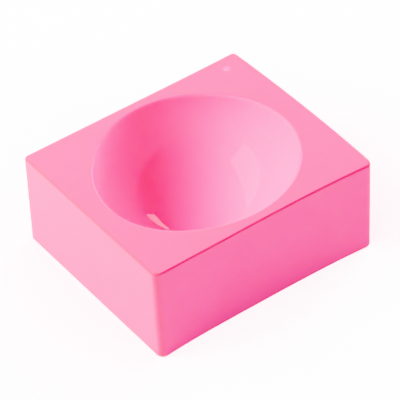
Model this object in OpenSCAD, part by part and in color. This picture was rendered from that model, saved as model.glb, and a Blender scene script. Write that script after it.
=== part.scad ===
// One-piece silicone casting mould: a low rectangular block with one large, slightly oval,
// half-round cavity open at the top. Casting resin, wax or soap is poured into the cavity,
// and the soft block is flexed to release the dome that has set in it.
// The origin is the centre of the base. +X runs along the long side and +Z is up.

/* [Block] */
// Length of the block, along X
block_length = 122; // [118:1:180]
// Width of the block, along Y
block_width = 104.5; // [100:0.5:160]
// Height of the block
block_height = 50; // [49:1:80]
// Radius of the four upright corners
corner_radius = 3.4; // [1.4:0.1:8]
// Radius that softens the edges of the top and bottom faces
edge_radius = 1.2; // [0.3:0.1:1.2]

/* [Cavity] */
// Length of the opening across its rounded lip, along X
opening_length = 100; // [60:0.5:108]
// Width of the opening across its rounded lip, along Y
opening_width = 92.5; // [60:0.5:94]
// Depth of the cavity below the top face
cavity_depth = 46; // [30:0.5:46]
// Distance from the block's centre to the cavity's centre, along X
cavity_offset_x = -1.1; // [-2:0.1:2]
// Distance from the block's centre to the cavity's centre, along Y
cavity_offset_y = 0.5; // [-1:0.1:1]
// Radius of the lip, where the cavity rolls over into the top face
lip_radius = 1.3; // [0.2:0.1:1.5]

/* [Mark] */
// Width of the plain drop sunk into the top face, near the back right corner
drop_width = 3.8; // [2:0.1:4]
// Depth of the drop
drop_depth = 0.3; // [0.1:0.1:0.6]
// Distance from the middle of the drop to the right end of the block
drop_inset_x = 11.5; // [9:0.5:14]
// Distance from the middle of the drop to the back of the block
drop_inset_y = 8; // [7:0.5:10]

/* [Hidden] */
$fn = 128;
// How far a cutting shape reaches past the face that it opens
overshoot = 2;
opening_radius = opening_length / 2 - lip_radius;
oval_ratio = opening_width / opening_length;
depth_ratio = cavity_depth / opening_radius;

// Flat rectangle centred on the origin, with round corners
module rounded_rectangle(length, width, radius) {
    square([length - 2 * radius, width], center = true);
    square([length, width - 2 * radius], center = true);
    for (x = [-1, 1], y = [-1, 1])
        translate([x * (length / 2 - radius), y * (width / 2 - radius)])
            circle(radius);
}

// Outline of a wall seen from its end: the full height, with softened edges
module wall_section(length) {
    translate([0, block_height / 2])
        rounded_rectangle(length, block_height, edge_radius);
}

// Turned post that forms one upright corner
module corner_post() {
    rotate_extrude()
        intersection() {
            wall_section(2 * corner_radius);
            square([corner_radius, block_height]);
        }
}

// Solid block before the cavity is sunk into it
module soft_edged_block() {
    straight_x = block_length - 2 * corner_radius;
    straight_y = block_width - 2 * corner_radius;
    rotate([90, 0, 0])
        linear_extrude(straight_y, center = true)
            wall_section(block_length);
    rotate([90, 0, 90])
        linear_extrude(straight_x, center = true)
            wall_section(block_width);
    for (x = [-1, 1], y = [-1, 1])
        translate([x * straight_x / 2, y * straight_y / 2, 0])
            corner_post();
}

// Half section of the lip: a quarter round that widens the mouth, up to the top face
module lip_profile() {
    translate([0, -lip_radius])
        square([opening_radius, lip_radius + overshoot]);
    difference() {
        translate([opening_radius, -lip_radius])
            square(lip_radius);
        translate([opening_radius + lip_radius, -lip_radius])
            circle(lip_radius);
    }
}

// Space that the cavity takes out of the block, hung from the top face at z = 0
module cavity_space() {
    scale([1, oval_ratio, 1]) {
        scale([1, 1, depth_ratio])
            sphere(opening_radius);
        rotate_extrude()
            lip_profile();
    }
}

// Plain liquid drop with its point towards the back
module drop_outline() {
    circle(drop_width / 2);
    rotate(45)
        square(drop_width / 2);
}

module mould_block() {
    color("hotpink")
        difference() {
            soft_edged_block();
            translate([cavity_offset_x, cavity_offset_y, block_height])
                cavity_space();
            translate([block_length / 2 - drop_inset_x, block_width / 2 - drop_inset_y,
                       block_height - drop_depth])
                linear_extrude(overshoot)
                    drop_outline();
        }
}

mould_block();
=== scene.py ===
"""Looks of a one-piece silicone casting mould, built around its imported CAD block.

The skin is one closed mesh of rings round the cavity's axis: up the half-round cavity, over the
lip, across the top face, down the walls and under the base. Soft silicone is never quite true, so
the walls and the lip stand a little out of shape, by named amounts and inside the CAD box.
"""
import math

import bmesh
import bpy
import numpy as np
from mathutils import Matrix, Vector


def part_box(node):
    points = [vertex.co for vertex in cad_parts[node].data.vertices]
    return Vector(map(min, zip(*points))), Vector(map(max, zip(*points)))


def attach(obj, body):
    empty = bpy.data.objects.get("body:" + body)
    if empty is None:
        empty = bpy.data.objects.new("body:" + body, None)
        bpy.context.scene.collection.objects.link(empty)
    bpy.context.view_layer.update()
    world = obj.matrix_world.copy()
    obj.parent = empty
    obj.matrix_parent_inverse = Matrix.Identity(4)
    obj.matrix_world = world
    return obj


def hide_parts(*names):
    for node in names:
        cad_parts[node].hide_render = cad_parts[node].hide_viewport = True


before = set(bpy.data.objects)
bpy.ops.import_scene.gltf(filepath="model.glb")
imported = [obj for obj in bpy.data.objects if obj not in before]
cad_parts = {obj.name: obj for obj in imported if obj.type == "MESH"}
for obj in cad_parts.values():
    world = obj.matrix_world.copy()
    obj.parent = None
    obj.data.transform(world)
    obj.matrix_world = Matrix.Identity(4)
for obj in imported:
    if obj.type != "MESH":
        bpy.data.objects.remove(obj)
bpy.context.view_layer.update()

NODE = "mould_block"
MM = 0.001

# Sizes of the block, in metres
block_low, block_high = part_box(NODE)
LENGTH, WIDTH, HEIGHT = block_high - block_low
HALF_LENGTH, HALF_WIDTH = LENGTH / 2, WIDTH / 2
EDGE_RADIUS = 1.2 * MM
# Upright corners, anticlockwise from the front right: sides along X and Y, and radius
CORNERS = [(1, -1, 4.4 * MM), (1, 1, 2.8 * MM), (-1, 1, 2.6 * MM), (-1, -1, 4.2 * MM)]

# Sizes of the cavity
LIP_RADIUS = 1.3 * MM
CAVITY_DEPTH = 46.0 * MM
CAVITY_CENTRE = np.array((-1.1, 0.5)) * MM
OPENING_LENGTH, OPENING_WIDTH = 100.0 * MM, 92.5 * MM
CAVITY_RX = OPENING_LENGTH / 2 - LIP_RADIUS
CAVITY_RY = CAVITY_RX * OPENING_WIDTH / OPENING_LENGTH

# How far the soft block stands out of true. The right end bulges at mid width
RIGHT_BULGE = 1.3 * MM
# The front wall's middle lies in from its right upright edge, and its left edge flares at the foot
FRONT_HOLLOW = 2.0 * MM
LEFT_FLARE_TOP, LEFT_FLARE_FOOT = 0.45 * MM, 1.6 * MM
# The back wall flares at its right end, and at the foot of its left end
BACK_HOLLOW = 0.5 * MM
# Places on the lip that lean in or out: direction in degrees, half width in degrees, amount
LIP_LEANS = [(145, 30, -1.1 * MM), (205, 26, 1.2 * MM), (82, 24, 0.7 * MM)]
# The lean fades over this depth of the cavity, and over this share of its radius outside the lip
LEAN_DEPTH = 18 * MM
LEAN_REACH = 0.11

# Plain drop sunk into the top face near the back right corner
DROP_WIDTH = 3.8 * MM
DROP_DEPTH = 0.3 * MM
DROP_PLACE = (HALF_LENGTH - 11.5 * MM, HALF_WIDTH - 8.0 * MM)

# Fineness of the mesh
CORNER_STEPS = 10
WALL_STEPS = 56
BOWL_STEPS = 52
ROUND_STEPS = 8
FLAT_STEPS = 10
HEIGHT_STEPS = 17
DROP_STEPS = 36
# The innermost ring of the base is the walls' outline at this scale
BASE_CENTRE = 0.02
# Faces that meet at more than this many degrees keep a sharp edge between them
SHARP_ANGLE = 40
# Rings that hold a flat face flat beside a rounded edge lie this far from it
HOLD = 0.25 * MM


def outline():
    """Points and outward normals round the block's plan, anticlockwise from the front right corner."""
    centres = [np.array((x * (HALF_LENGTH - r), y * (HALF_WIDTH - r))) for x, y, r in CORNERS]
    radii = [radius for _, _, radius in CORNERS]
    points, normals = [], []
    for i, centre in enumerate(centres):
        for step in range(CORNER_STEPS + 1):
            angle = math.radians(90 * (i - 1) + 90 * step / CORNER_STEPS)
            normals.append(np.array((math.cos(angle), math.sin(angle))))
            points.append(centre + radii[i] * normals[-1])
        start, normal = points[-1], normals[-1]
        end = centres[(i + 1) % 4] + radii[(i + 1) % 4] * normal
        for step in range(1, WALL_STEPS):
            points.append(start + (end - start) * step / WALL_STEPS)
            normals.append(normal)
    return np.array(points), np.array(normals)


def stand(plan, z):
    """Plan of the walls at one height as the soft block stands, moved in from the CAD block's faces.

    High powers keep an effect close to one face or one end, and low powers spread it along a wall.
    """
    x, y = plan[:, 0] / HALF_LENGTH, plan[:, 1] / HALF_WIDTH
    right, left = np.clip(x, 0, 1), np.clip(-x, 0, 1)
    foot = 1 - z / HEIGHT
    on_right, on_front, on_back = np.clip([x, -y, y], 0, 1) ** 8
    left_flare = foot * LEFT_FLARE_FOOT * left ** 4 + (1 - foot) * LEFT_FLARE_TOP * left
    front = FRONT_HOLLOW * (1 - right ** 2.5) - left_flare
    back = BACK_HOLLOW * (1 - right ** 4 - foot * left ** 8)
    stood = plan.copy()
    stood[:, 0] -= on_right * RIGHT_BULGE * y ** 2
    stood[:, 1] += on_front * front - on_back * back
    return stood


def ring(plan, z):
    """A ring of points at one height."""
    return np.column_stack([plan, np.full(len(plan), z)])


def cavity_rings(angles):
    """From the bottom of the cavity up its wall and over the rounded lip."""
    unit = np.column_stack([CAVITY_RX * np.cos(angles), CAVITY_RY * np.sin(angles)])
    rings = []
    last = math.acos(LIP_RADIUS / CAVITY_DEPTH)
    for step in range(1, BOWL_STEPS + 1):
        tilt = last * step / BOWL_STEPS
        rings.append(ring(CAVITY_CENTRE + unit * math.sin(tilt), HEIGHT - CAVITY_DEPTH * math.cos(tilt)))
    for step in range(1, ROUND_STEPS + 1):
        turn = math.pi / 2 * step / ROUND_STEPS
        spread = 1 + LIP_RADIUS * (1 - math.cos(turn)) / CAVITY_RX
        rings.append(ring(CAVITY_CENTRE + unit * spread, HEIGHT - LIP_RADIUS * (1 - math.sin(turn))))
    return rings


def flat_rings(inner, outer, z):
    """Across a flat face, with a ring close to each edge that keeps the face flat."""
    reach = np.linalg.norm(outer - inner, axis=1, keepdims=True)
    even = [np.full_like(reach, step / FLAT_STEPS) for step in range(1, FLAT_STEPS)]
    shares = [HOLD / reach] + even + [1 - HOLD / reach]
    return [ring(inner + (outer - inner) * share, z) for share in shares]


def wall_rings(plan, normals):
    """Over the top edge, down the wall and round the bottom edge."""
    turns = [math.pi / 2 * step / ROUND_STEPS for step in range(ROUND_STEPS + 1)]
    top, bottom = HEIGHT - EDGE_RADIUS, EDGE_RADIUS
    steps = [(1 - math.sin(turn), HEIGHT - EDGE_RADIUS * (1 - math.cos(turn))) for turn in turns]
    heights = [top - HOLD, *np.linspace(top, bottom, HEIGHT_STEPS + 1)[1:-1], bottom + HOLD]
    steps += [(0, z) for z in heights]
    steps += [(1 - math.cos(turn), EDGE_RADIUS * (1 - math.sin(turn))) for turn in turns]
    return [ring(stand(plan - normals * EDGE_RADIUS * inset, z), z) for inset, z in steps]


def lean_lip(points):
    """Leans parts of the lip in or out, fading down the cavity and across the top face."""
    plan = points[:, :2] - CAVITY_CENTRE
    reach = np.hypot(plan[:, 0] / CAVITY_RX, plan[:, 1] / CAVITY_RY)
    heading = np.degrees(np.arctan2(plan[:, 1] / CAVITY_RY, plan[:, 0] / CAVITY_RX))
    down = np.exp(-((HEIGHT - points[:, 2]) / LEAN_DEPTH) ** 2)
    across = np.clip(1 - (np.clip(reach - 1, 0, None) / LEAN_REACH) ** 2, 0, 1) ** 2
    outward = plan / np.maximum(np.linalg.norm(plan, axis=1, keepdims=True), MM)
    for centre, half_width, amount in LIP_LEANS:
        away = (heading - centre + 180) % 360 - 180
        lean = amount * down * across * np.exp(-((away / half_width) ** 2))
        points[:, :2] += outward * lean[:, None]


def ring_faces(ring_count, count, inner_pole, outer_pole):
    """Quads between neighbouring rings, and a fan of triangles to the pole at each end."""
    faces = []
    for r in range(ring_count - 1):
        for i in range(count):
            j = (i + 1) % count
            faces.append((r * count + i, (r + 1) * count + i, (r + 1) * count + j, r * count + j))
    last = (ring_count - 1) * count
    faces += [(inner_pole, i, (i + 1) % count) for i in range(count)]
    faces += [(outer_pole, last + (i + 1) % count, last + i) for i in range(count)]
    return faces


def mark(mesh, name, values):
    """Stores one number per point for the material to read."""
    layer = mesh.attributes.new(name, "FLOAT", "POINT")
    layer.data.foreach_set("value", np.array(values, dtype=np.float32))


def build_skin():
    """One closed mesh for the whole mould, with the cavity's points marked, and the rounded edges' points
    marked for painted shade.
    """
    plan, normals = outline()
    count = len(plan)
    offset = plan - CAVITY_CENTRE
    cavity = cavity_rings(np.arctan2(offset[:, 1] / CAVITY_RY, offset[:, 0] / CAVITY_RX))
    walls = wall_rings(plan, normals)
    top = flat_rings(cavity[-1][:, :2], walls[0][:, :2], HEIGHT)
    base = flat_rings(walls[-1][:, :2], walls[-1][:, :2] * BASE_CENTRE, 0.0)
    rings = cavity + top + walls + base
    poles = [[*CAVITY_CENTRE, HEIGHT - CAVITY_DEPTH], [0, 0, 0]]
    points = np.vstack(rings + [poles])
    lean_lip(points)
    mesh = bpy.data.meshes.new("mould_skin")
    mesh.from_pydata(points.tolist(), [], ring_faces(len(rings), count, len(points) - 2, len(points) - 1))

    in_cavity = [1.0] * BOWL_STEPS + list(np.linspace(1, 0, ROUND_STEPS))
    in_cavity += [0.0] * (len(rings) - len(cavity))
    mark(mesh, "cavity", [*np.repeat(in_cavity, count), 1.0, 0.0])
    # Painted shade along the rounded top and bottom edges and the upright corners, strongest at the
    # middle of each rounding
    round_ring = [math.sin(math.pi * step / ROUND_STEPS) for step in range(ROUND_STEPS + 1)]
    down_wall = round_ring + [0.0] * (len(walls) - 2 * len(round_ring)) + round_ring
    round_corner = 1 - (np.abs(normals).max(axis=1) - math.sqrt(0.5)) / (1 - math.sqrt(0.5))
    painted_edge_shade = np.maximum(np.repeat(down_wall, count), np.tile(round_corner, len(walls)))
    inner_points = np.zeros((len(cavity) + len(top)) * count)
    mark(mesh, "edge", [*inner_points, *painted_edge_shade, *np.zeros(len(base) * count), 0.0, 0.0])

    for polygon in mesh.polygons:
        polygon.use_smooth = True
    mesh.validate()
    skin = bpy.data.objects.new("mould_skin", mesh)
    bpy.context.scene.collection.objects.link(skin)
    recalculate_normals(mesh)
    return skin


def recalculate_normals(mesh):
    """Turns every face outwards."""
    bm = bmesh.new()
    bm.from_mesh(mesh)
    bmesh.ops.recalc_face_normals(bm, faces=bm.faces)
    bm.to_mesh(mesh)
    bm.free()


def drop_cutter():
    """A prism with a drop's outline: three quarters of a circle and a pointed tip."""
    radius = DROP_WIDTH / 2
    arc = [math.radians(135 + 270 * step / DROP_STEPS) for step in range(DROP_STEPS + 1)]
    plan = [(radius * math.cos(a), radius * math.sin(a)) for a in arc] + [(0, radius * math.sqrt(2))]
    bm = bmesh.new()
    for z in (HEIGHT - DROP_DEPTH, HEIGHT + DROP_DEPTH):
        for x, y in plan:
            bm.verts.new((DROP_PLACE[0] + x, DROP_PLACE[1] + y, z))
    bm.verts.ensure_lookup_table()
    n = len(plan)
    bm.faces.new(bm.verts[i] for i in reversed(range(n)))
    bm.faces.new(bm.verts[n + i] for i in range(n))
    for i in range(n):
        j = (i + 1) % n
        bm.faces.new((bm.verts[i], bm.verts[j], bm.verts[n + j], bm.verts[n + i]))
    mesh = bpy.data.meshes.new("drop_cutter")
    bm.to_mesh(mesh)
    bm.free()
    cutter = bpy.data.objects.new("drop_cutter", mesh)
    bpy.context.scene.collection.objects.link(cutter)
    return cutter


def sink_drop(skin):
    """Cuts the drop into the skin and clears the cutter away."""
    cutter = drop_cutter()
    cut = skin.modifiers.new("drop", "BOOLEAN")
    cut.operation = "DIFFERENCE"
    cut.object = cutter
    cut.solver = "EXACT"
    graph = bpy.context.evaluated_depsgraph_get()
    mesh = bpy.data.meshes.new_from_object(skin.evaluated_get(graph))
    skin.modifiers.remove(cut)
    skin.data = mesh
    bpy.data.objects.remove(cutter)
    mesh.set_sharp_from_angle(angle=math.radians(SHARP_ANGLE))


class Nodes:
    """Short way to add shader nodes and join them up."""

    def __init__(self, tree):
        self.tree = tree

    def add(self, kind, **inputs):
        node = self.tree.nodes.new(kind)
        for name, value in inputs.items():
            self.put(node, name, value)
        return node

    def put(self, node, name, value):
        socket = node.inputs[name.replace("_", " ")] if isinstance(name, str) else node.inputs[name]
        if isinstance(value, bpy.types.NodeSocket):
            self.tree.links.new(value, socket)
        else:
            socket.default_value = value

    def noise(self, place, scale, detail=3.0, roughness=0.5):
        settings = {"Scale": scale, "Detail": detail, "Roughness": roughness}
        return self.add("ShaderNodeTexNoise", Vector=place, **settings).outputs["Fac"]

    def attribute(self, name):
        node = self.tree.nodes.new("ShaderNodeAttribute")
        node.attribute_name = name
        return node.outputs["Fac"]

    def remap(self, value, low, high):
        """Takes a value from 0 to 1 to the range from low to high."""
        node = self.tree.nodes.new("ShaderNodeMapRange")
        self.put(node, "Value", value)
        node.inputs["To Min"].default_value = low
        node.inputs["To Max"].default_value = high
        return node.outputs["Result"]

    def mix_value(self, share, first, second):
        node = self.tree.nodes.new("ShaderNodeMix")
        node.data_type = "FLOAT"
        for index, value in ((0, share), (2, first), (3, second)):
            self.put(node, index, value)
        return node.outputs[0]

    def mix_colour(self, share, first, second):
        node = self.tree.nodes.new("ShaderNodeMix")
        node.data_type = "RGBA"
        for index, value in ((0, share), (6, first), (7, second)):
            self.put(node, index, value)
        return node.outputs[2]


# Colours of the silicone: outside and mottled, a deep pink that paints shade along the rounded edges and
# corners, and a lighter pink that paints light in the cavity
PINK = (0.415, 0.0088, 0.131, 1.0)
PALE_PINK = (0.415, 0.0110, 0.140, 1.0)
# Deep pink that paints shade along the rounded edges and corners
PAINTED_EDGE_SHADE_PINK = (0.32, 0.002, 0.06, 1.0)
# Lighter pink in the cavity that paints the brighter light falling there
PAINTED_CAVITY_LIGHT_PINK = (0.66, 0.0132, 0.315, 1.0)
# Share of the painted edge shade at the middle of a rounding
PAINTED_EDGE_SHADE_SHARE = 0.8
# Roughness outside, where handling leaves it uneven, and in the cavity
SATIN_LOW, SATIN_HIGH = 0.62, 0.78
GLOSS = 0.05
# How light scatters inside the rubber
SCATTER_RADII = (1.0, 0.2, 0.5)
SCATTER_DEPTH = 1.5 * MM
# Fine grain of the surface, and how strongly it shows outside and in the cavity
GRAIN_HEIGHT = 0.02 * MM
GRAIN_OUTSIDE, GRAIN_IN_CAVITY = 0.5, 0.03
# Scales of the noises, in repeats per metre
MOTTLING_SCALE = 60.0
HANDLING_SCALE = 90.0
GRAIN_SCALE = 2600.0


def silicone():
    """Soft translucent pink silicone, satin outside and glossy in the cavity, with painted light in the
    cavity and painted shade along the edges.
    """
    material = bpy.data.materials.new("pink_silicone")
    material.use_nodes = True
    nodes = Nodes(material.node_tree)
    shader = material.node_tree.nodes["Principled BSDF"]
    place = nodes.add("ShaderNodeTexCoord").outputs["Object"]
    cavity, edge = nodes.attribute("cavity"), nodes.attribute("edge")
    mottling = nodes.noise(place, MOTTLING_SCALE, detail=4.0)
    colour = nodes.mix_colour(mottling, PINK, PALE_PINK)
    # The lighter cavity pink is painted light
    colour = nodes.mix_colour(cavity, colour, PAINTED_CAVITY_LIGHT_PINK)
    # Deep pink along the rounded edges and corners is painted shade
    colour = nodes.mix_colour(nodes.remap(edge, 0.0, PAINTED_EDGE_SHADE_SHARE), colour, PAINTED_EDGE_SHADE_PINK)
    nodes.put(shader, "Base Color", colour)
    handling = nodes.noise(place, HANDLING_SCALE, detail=5.0, roughness=0.6)
    satin = nodes.remap(handling, SATIN_LOW, SATIN_HIGH)
    nodes.put(shader, "Roughness", nodes.mix_value(cavity, satin, GLOSS))
    shader.inputs["IOR"].default_value = 1.5
    shader.inputs["Subsurface Weight"].default_value = 1.0
    shader.inputs["Subsurface Radius"].default_value = SCATTER_RADII
    shader.inputs["Subsurface Scale"].default_value = SCATTER_DEPTH
    grain = nodes.noise(place, GRAIN_SCALE, detail=2.0)
    bump = nodes.add("ShaderNodeBump", Distance=GRAIN_HEIGHT, Height=grain)
    nodes.put(bump, "Strength", nodes.mix_value(cavity, GRAIN_OUTSIDE, GRAIN_IN_CAVITY))
    nodes.put(shader, "Normal", bump.outputs["Normal"])
    return material


def direction(azimuth, elevation):
    """Unit vector at an angle from +X towards +Y and an angle above the floor, in degrees."""
    a, e = math.radians(azimuth), math.radians(elevation)
    return Vector((math.cos(a) * math.cos(e), math.sin(a) * math.cos(e), math.sin(e)))


def soft_box(name, azimuth, elevation, distance, width, height, radiance, mirrored):
    """A rectangular studio light that faces the mould. Its brightness is stated as radiance.

    A light that isn't mirrored acts like a polarised lamp: it lights the silicone, and glossy
    surfaces don't show its reflection.
    """
    light = bpy.data.lights.new(name, "AREA")
    light.shape = "RECTANGLE"
    light.size, light.size_y = width, height
    light.energy = radiance * math.pi * width * height
    lamp = bpy.data.objects.new(name, light)
    lamp.location = direction(azimuth, elevation) * distance + Vector((0, 0, HEIGHT / 2))
    lamp.rotation_euler = (-direction(azimuth, elevation)).to_track_quat("-Z", "Y").to_euler()
    lamp.visible_glossy = mirrored
    bpy.context.scene.collection.objects.link(lamp)


# The floor reaches this far from the mould each way. Its colour, and the even light that it gives
FLOOR_REACH = 4.0
FLOOR_COLOUR = (0.6, 0.6, 0.6, 1)
FLOOR_GLOW = 3.2
# Brightness of the surroundings as the mould meets them, and as they are seen behind it
SURROUNDINGS_GLOW, BACKDROP_GLOW = 0.05, 6.0
# Distances of the lights
NEAR, FAR = 0.7, 1.2


def studio():
    """Bright, evenly lit floor, dim surroundings, and soft lights to the left and right."""
    bm = bmesh.new()
    bmesh.ops.create_grid(bm, x_segments=1, y_segments=1, size=FLOOR_REACH)
    mesh = bpy.data.meshes.new("floor")
    bm.to_mesh(mesh)
    bm.free()
    floor = bpy.data.objects.new("floor", mesh)
    bpy.context.scene.collection.objects.link(floor)
    paper = bpy.data.materials.new("floor_paper")
    paper.use_nodes = True
    shader = paper.node_tree.nodes["Principled BSDF"]
    shader.inputs["Base Color"].default_value = FLOOR_COLOUR
    shader.inputs["Roughness"].default_value = 0.9
    shader.inputs["Emission Color"].default_value = (1, 1, 1, 1)
    shader.inputs["Emission Strength"].default_value = FLOOR_GLOW
    mesh.materials.append(paper)
    world = bpy.data.worlds.new("surroundings")
    world.use_nodes = True
    nodes = Nodes(world.node_tree)
    background = world.node_tree.nodes["Background"]
    seen = nodes.add("ShaderNodeLightPath").outputs["Is Camera Ray"]
    nodes.put(background, "Color", (1, 1, 1, 1))
    nodes.put(background, "Strength", nodes.mix_value(seen, SURROUNDINGS_GLOW, BACKDROP_GLOW))
    bpy.context.scene.world = world
    soft_box("left_key", 148, 42, NEAR, 0.44, 0.29, 134.0, mirrored=False)
    soft_box("left_glow", 152, 30, FAR, 1.5, 0.75, 7.0, mirrored=True)
    soft_box("right_low", 20, 10, NEAR, 0.49, 0.23, 160.0, mirrored=False)
    soft_box("right_upper", 12, 27, NEAR, 0.29, 0.26, 66.0, mirrored=False)
    soft_box("right_glow", 12, 29, NEAR, 0.26, 0.34, 10.0, mirrored=True)


# The camera looks at this point of the mould, from this side and distance
CAMERA_TARGET = Vector((0.13, 0.43, 24.95)) * MM
CAMERA_AZIMUTH, CAMERA_ELEVATION = -34.85, 41.58
CAMERA_DISTANCE = 1.2386
CAMERA_ROLL = -2.76
CAMERA_LENS = 243.3


def place_camera():
    """Long lens, turned a little about its own axis."""
    a, e = math.radians(CAMERA_AZIMUTH), math.radians(CAMERA_ELEVATION)
    back = Vector((math.sin(a) * math.cos(e), -math.cos(a) * math.cos(e), math.sin(e)))
    data = bpy.data.cameras.new("camera")
    data.lens = CAMERA_LENS
    data.sensor_width = 36
    data.clip_start = 0.01
    camera = bpy.data.objects.new("camera", data)
    roll = Matrix.Rotation(math.radians(CAMERA_ROLL), 3, "Z")
    turn = (-back).to_track_quat("-Z", "Y").to_matrix() @ roll
    camera.matrix_world = Matrix.Translation(CAMERA_TARGET + back * CAMERA_DISTANCE) @ turn.to_4x4()
    bpy.context.scene.collection.objects.link(camera)
    bpy.context.scene.camera = camera


skin = build_skin()
sink_drop(skin)
skin.data.materials.clear()
skin.data.materials.append(silicone())
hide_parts(NODE)
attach(skin, "root")

studio()
place_camera()
bpy.context.scene.view_settings.view_transform = "Khronos PBR Neutral"
